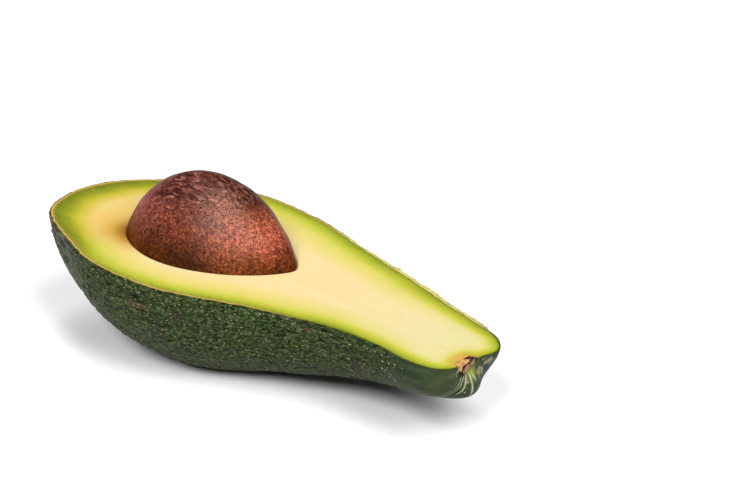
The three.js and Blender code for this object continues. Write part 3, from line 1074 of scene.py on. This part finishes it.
flesh_faces = skin_faces(back_rows)
flesh_faces += [quad[::-1] for quad in web(number)]
flesh_faces += web(np.concatenate([number[:1], hollow_number]))
flesh_faces += fan(hollow_number[-1], hollow_number[-1, -1] + 1)
flesh_points = np.concatenate([back, face_rings[:-1].reshape(-1, 3), *hollow_rings, hollow_bottom[None]])

# %% What the flesh's material has to know, and its mesh
x, y = flesh_points[:, 0], flesh_points[:, 1]
behind_face = len(hollow_rings) * column_count + 1
band = np.interp(x, [0, 10, 24, 46, 100, 128, 138], [2.3, 2.1, 1.45, 1.05, 1.0, 0.85, 0.65])
band *= 1 + 0.25 * smoothstep(y, 6, 22) * smoothstep(x, 30, 60)
kept_peel = np.concatenate([np.zeros(len(back)), peel_away[:-1].ravel(), np.full(behind_face, 14)])
kept_seed = np.concatenate([np.full(len(back), 30), seed_away[:-1].ravel(), np.zeros(behind_face)])
# Painted shade where the flesh dips beside the seed's blunt end.
dip_shade = np.exp(-((kept_seed / 3.0) ** 2) - ((y + 10.5) / 7) ** 2)
golden = np.exp(-((kept_seed / 7.5) ** 2) - ((y + 12) / 9.5) ** 2)
flesh = make_mesh("flesh_cut", flesh_points, flesh_faces, {
    "band": (kept_peel + PEEL) / band,
    "seed_away": kept_seed,
    "peel_away": kept_peel,
    "woody": 1 - smoothstep(x, 30, 80),
    # painted shade in the dip beside the seed
    "dip_shade": dip_shade * (1 - smoothstep(x, 30, 42)),
    "golden": golden * (1 - smoothstep(x, 28, 46)),
    "ochre": 1 - smoothstep(x, 18, 34),
    "stem_glow": 1 - smoothstep(np.hypot(x - 136, (y - STEM_Y) * 0.75), 1.2, 4.6),
    "neckward": smoothstep(x, 85, 130),
})
report(flesh)

# %% [markdown]
# ## The flesh's colour
#
# Next to the peel the flesh is full of chlorophyll, and within a centimetre it fades through lime and
# butter yellow to cream. The stops of the two ramps are distances from the peel in millimetres, over the
# reach of the whole fade. Light goes some way into flesh, so it gets subsurface scattering. Faint fibres
# run along the fruit. A thin band along the edge of the hollow is painted a little darker, which is painted
# shade, and so is a darker brown where the flesh dips beside the seed's blunt end. Round the stem the flesh
# has begun to turn orange.

# %% Flesh patterns
butter = Finish("flesh_butter", 0.42, Specular_IOR_Level=0.18, Subsurface_Weight=0.25)
butter.shader.inputs["Subsurface Scale"].default_value = 3 * MM
butter.shader.inputs["Subsurface Radius"].default_value = (1.0, 0.75, 0.3)
FADE = 16
ripple = butter.noise(6, detail=3, place=butter.stretched(0.35, 1, 1))
fibre = butter.noise(0.8, detail=4, roughness=0.65, place=butter.stretched(0.12, 1, 1))
fade = (butter.kept("band") + (ripple - 0.5) * 1.8 + (fibre - 0.5) * 0.8) / FADE
away_from_rim = fade.ease(0.25, 0.5)
woody_edge = 1 - (butter.kept("peel_away") + (ripple - 0.5) * 2.0).ease(0.2, 1.1)
# Painted shade in a thin band along the edge of the hollow.
hollow_edge_shade = 1 - butter.kept("seed_away").ease(0.0, 0.7)
bundles = 1 - butter.cells(5.5, butter.stretched(0.4, 1, 1)).ease(0.03, 0.09)

# %% Flesh colour
cream = butter.ramp(fade, {
    0.0: (110, 124, 26),
    1.3 / FADE: (146, 157, 36),
    2.3 / FADE: (180, 187, 48),
    3.6 / FADE: (204, 205, 68),
    5.2 / FADE: (224, 218, 96),
    7.2 / FADE: (237, 222, 124),
    9.6 / FADE: (245, 225, 140),
    12.5 / FADE: (252, 228, 167),
})
ochre = butter.ramp(fade, {
    0.0: (88, 104, 18),
    2.3 / FADE: (156, 162, 34),
    3.6 / FADE: (203, 192, 56),
    5.0 / FADE: (228, 206, 92),
    6.4 / FADE: (243, 214, 130),
    11 / FADE: (241, 207, 126),
})
cream = butter.layer(cream, [
    ((240, 231, 173), butter.kept("neckward") * away_from_rim * 0.7),
    (ochre, butter.kept("ochre")),
    ((226, 170, 48), butter.kept("golden") * 0.9),
    # Painted shade in the dip beside the seed.
    ((160, 104, 30), butter.kept("dip_shade") * 0.85),
    ((234, 178, 92), butter.kept("stem_glow") * 0.8),
    ((178, 148, 62), woody_edge * butter.kept("woody") * 0.85),
    # Painted shade along the hollow's edge.
    ((170, 120, 66), hollow_edge_shade * 0.55),
    ((236, 196, 112), fibre.ease(0.58, 0.76) * 0.35),
    ((232, 176, 96), bundles * away_from_rim * 0.4),
])
butter.put(
    Base_Color=cream,
    Roughness=0.38 + ripple * 0.2,
    Normal=butter.bump(fibre * 0.6 + butter.noise(0.5, detail=3) * 0.4, 0.08, 0.35),
)
flesh.data.materials.append(butter.material)
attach(flesh, "root")
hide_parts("flesh")

# %% [markdown]
# ## The stump of the stem
#
# The stem broke off and the knife then split what was left. It is a half round of dry wood, rough on its
# end. A loop of points, half an ellipse closed by a straight top, is drawn out along the fruit and closed
# at both ends, and noise makes it ragged.
# A dark crevice along the split is painted shade.

# %% Stump mesh
STUMP_LOOP, STUMP_ROWS, STUMP_RINGS = 72, 8, 14
SNUG = 0.32
SPLIT_ACROSS, SPLIT_UP = -0.555, 0.832


def stump_loop(along, scale):
    """One loop round the stump, first along the underside and then back across its top."""
    under = math.pi * np.linspace(0, 1, STUMP_LOOP * 2 // 3)
    low = np.stack([np.cos(under) * STUMP_WIDTH, -np.sin(under) * STUMP_DEPTH], -1)
    across = np.linspace(-1, 1, STUMP_LOOP - len(under) + 2)[1:-1]
    top = np.stack([across * STUMP_WIDTH, 0 * across], -1)
    flat = np.concatenate([low, top])
    middle = np.array([0, -0.42 * STUMP_DEPTH])
    flat = middle + (flat - middle) * scale
    return np.column_stack([np.full(len(flat), along), flat[:, 0] + STEM_Y, flat[:, 1] - 0.06])


alongs = np.linspace(STUMP_FROM - SNUG, STUMP_TO, STUMP_ROWS)
scales = np.linspace(1.08, 1.06, STUMP_ROWS)
end_scales = np.linspace(1, 0, STUMP_RINGS + 1)[1:-1]
loops = [stump_loop(STUMP_FROM - SNUG, 1.08 * s) for s in end_scales[::-1]]
loops += [stump_loop(at, scale) for at, scale in zip(alongs, scales)]
loops += [stump_loop(STUMP_TO - 0.5 * (1 - s) ** 2, s) for s in end_scales]
loops = np.stack(loops)
rough = 0.22 * lattice_noise(loops, 1.1, 41) + 0.12 * lattice_noise(loops, 0.45, 42)
outer_end = smoothstep(loops[..., 0], STUMP_FROM + 0.5, STUMP_TO)
loops[..., 0] += rough * outer_end * 1.2
loops[..., 2] += np.minimum(rough, 0.08) * 0.9 - 0.04
loops[..., 1] += rough * 0.4
numbers = np.arange(loops.size // 3).reshape(loops.shape[:2])
stump_faces = web(numbers) + fan(numbers[0], numbers.size) + fan(numbers[-1][::-1], numbers.size + 1)
stump_points = np.concatenate([loops.reshape(-1, 3), [loops[0].mean(0), loops[-1].mean(0)]])
split = SPLIT_ACROSS * (stump_points[:, 1] - STEM_Y - 2.0) + SPLIT_UP * (stump_points[:, 2] - 0.2)
split += 0.35 * lattice_noise(stump_points, 0.9, 44) - 0.25
stump = make_mesh("stem_wood", stump_points, stump_faces, {
    "flesh_on_it": smoothstep(split, 0.1, 0.4),
    # painted shade in the crevice along the split
    "crevice_shade": 1 - smoothstep(np.abs(split + 0.3), 0.3, 0.75),
})
report(stump)

# %% Stump material
wood = Finish("stem_fibre", 0.85, Specular_IOR_Level=0.1)
fibres = wood.noise(0.7, detail=5, roughness=0.75, place=wood.stretched(0.5, 1, 1))
bark = wood.ramp(fibres, {
    0.36: (60, 30, 20),
    0.46: (134, 90, 66),
    0.56: (190, 144, 118),
    0.7: (224, 186, 160),
})
flesh_on_it = wood.ramp(fibres, {0.4: (204, 140, 78), 0.5: (222, 168, 104), 0.62: (232, 188, 132)})
wood.put(
    Base_Color=wood.layer(bark, [
        (flesh_on_it, wood.kept("flesh_on_it")),
        # Painted shade in the crevice.
        ((40, 18, 8), wood.kept("crevice_shade") * 0.95),
    ]),
    Roughness=0.7 + fibres * 0.25,
    Normal=wood.bump(fibres, 0.2, 0.7),
)
stump.data.materials.append(wood.material)
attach(stump, "root")
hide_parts("stem_stump")

# %% [markdown]
# ## The torn edge of the peel
#
# A knife never leaves the rim quite clean. On the far side of the neck it tore the peel, and a ragged
# yellowish strip of it stands along the edge. It is a thin tube that follows the rim, and noise makes it
# swell and nearly vanish.

# %% A ragged strip along the rim
TEAR_FROM, TEAR_TO = 78, 131
TEAR_RINGS, TEAR_SIDES = 360, 10
TEAR_THINNEST, TEAR_THICKEST = 0.06, 0.9
TEAR_OUT, TEAR_DOWN = 0.18, 0.12

share = np.linspace(0, 1, TEAR_RINGS)
at = stemward(TEAR_FROM + (TEAR_TO - TEAR_FROM) * share)
middle, ahead = bare_skin(at, 0.0 * at), bare_skin(at + 0.01, 0.0 * at)
along_rim = (ahead - middle) / np.linalg.norm(ahead - middle, axis=1, keepdims=True)
out = np.stack([-along_rim[:, 1], along_rim[:, 0], 0 * at], -1)
ragged = 1.1 * lattice_noise(middle, 3.1, 51) + 0.5 * lattice_noise(middle, 0.9, 52)
thick = (0.34 + 0.5 * ragged) * np.sin(math.pi * share) ** 0.4
thick = np.clip(thick, TEAR_THINNEST, TEAR_THICKEST)[:, None]
turns = 2 * math.pi * np.arange(TEAR_SIDES) / TEAR_SIDES
across = np.cos(turns)[None] * thick * 0.8
upward = np.sin(turns)[None] * thick * 0.75
tube = middle[:, None] + out[:, None] * (across + TEAR_OUT)[..., None]
tube[..., 2] += upward - TEAR_DOWN
tube += 0.18 * thick[..., None] * lattice_noise(tube, 0.35, 53)[..., None]
numbers = np.arange(tube.shape[0] * TEAR_SIDES).reshape(-1, TEAR_SIDES)
tear_faces = [quad[::-1] for quad in web(numbers)]
tear_faces += [tuple(numbers[0].tolist()), tuple(numbers[-1][::-1].tolist())]
tear = make_mesh("peel_tear", tube.reshape(-1, 3), tear_faces, {})
shred = Finish("torn_peel", 0.6)
shreds = shred.noise(0.9, detail=4, roughness=0.7)
shred.put(
    Base_Color=shred.ramp(shreds, {
        0.36: (140, 124, 58),
        0.46: (212, 198, 112),
        0.6: (232, 224, 144),
        0.7: (232, 180, 104),
    }),
    Normal=shred.bump(shreds, 0.15, 0.6),
)
tear.data.materials.append(shred.material)
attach(tear, "root")
report(tear)

# %% [markdown]
# ## Floor, light and camera
#
# The view looks down a little and comes from the neck's side, through a long lens, which keeps the neck
# from looking too big. On a white table the shadow says most about the light: it is darkest and sharpest
# close under the neck, and soft and pale at the left. One lamp can't give both. Two broad ones at the right
# throw the pale shadow, one in front lights the peel, and two weak, steep ones keep the table bright, so
# that only what lies close under the fruit stays dark. A faint white world fills in the rest.

# %% Floor
FLOOR_REACH = 2.5
floor_mesh = bpy.data.meshes.new("floor")
corners = [(x * FLOOR_REACH, y * FLOOR_REACH, 0) for x, y in ((-1, -1), (1, -1), (1, 1), (-1, 1))]
floor_mesh.from_pydata(corners, [], [(0, 1, 2, 3)])
floor = bpy.data.objects.new("floor", floor_mesh)
bpy.context.collection.objects.link(floor)
table = Finish("white_table", 0.7)
table.shader.inputs["Base Color"].default_value = (0.7, 0.7, 0.71, 1)
floor.data.materials.append(table.material)

# %% Camera
VIEW_AZIMUTH = math.radians(39.16)
VIEW_ELEVATION = math.radians(22.11)
VIEW_DISTANCE = 0.598
VIEW_AIM = Vector((0.0292, 0.02785, 0.02936))
LENS = 107.3


def stand(azimuth, elevation, distance):
    """A place round what the camera looks at: azimuth 0 is in front, towards -Y, and grows towards +X."""
    flat = math.cos(elevation) * distance
    up = math.sin(elevation) * distance
    return VIEW_AIM + Vector((math.sin(azimuth) * flat, -math.cos(azimuth) * flat, up))


def face_the_fruit(obj):
    obj.rotation_euler = (obj.location - VIEW_AIM).to_track_quat("Z", "Y").to_euler()


camera = bpy.data.objects.new("camera", bpy.data.cameras.new("camera"))
bpy.context.collection.objects.link(camera)
camera.data.lens = LENS
camera.data.sensor_width = 36
camera.data.clip_start = 0.01
camera.location = stand(VIEW_AZIMUTH, VIEW_ELEVATION, VIEW_DISTANCE)
face_the_fruit(camera)
bpy.context.scene.camera = camera
print("camera at:", [round(value, 3) for value in camera.location])

# %% Lights
LAMP_DISTANCE = 1.0
WORLD_SHARE = 0.02


def soft_light(name, side, height, share, spread):
    """A distant soft light, so many degrees to the right of the camera and above the table.
    Share is how much of the table's light comes from it, and spread is how wide it looks, in degrees."""
    lamp = bpy.data.lights.new(name, "SUN")
    lamp.energy = share * LIGHT_LEVEL * math.pi / math.sin(math.radians(height))
    lamp.angle = math.radians(spread)
    obj = bpy.data.objects.new(name, lamp)
    bpy.context.collection.objects.link(obj)
    obj.location = stand(VIEW_AZIMUTH + math.radians(side), math.radians(height), LAMP_DISTANCE)
    face_the_fruit(obj)


soft_light("front", -20, 40, 0.36, 20)
soft_light("above", 0, 85, 0.1, 15)
soft_light("behind", 180, 75, 0.12, 30)
soft_light("right", 29, 50, 0.25, 24)
soft_light("low_right", 29, 33, 0.17, 24)

world = bpy.data.worlds.new("white_room")
world.use_nodes = True
background = world.node_tree.nodes["Background"].inputs
background["Color"].default_value = (1, 1, 1, 1)
background["Strength"].default_value = WORLD_SHARE * LIGHT_LEVEL
bpy.context.scene.world = world
bpy.context.scene.view_settings.view_transform = "Standard"
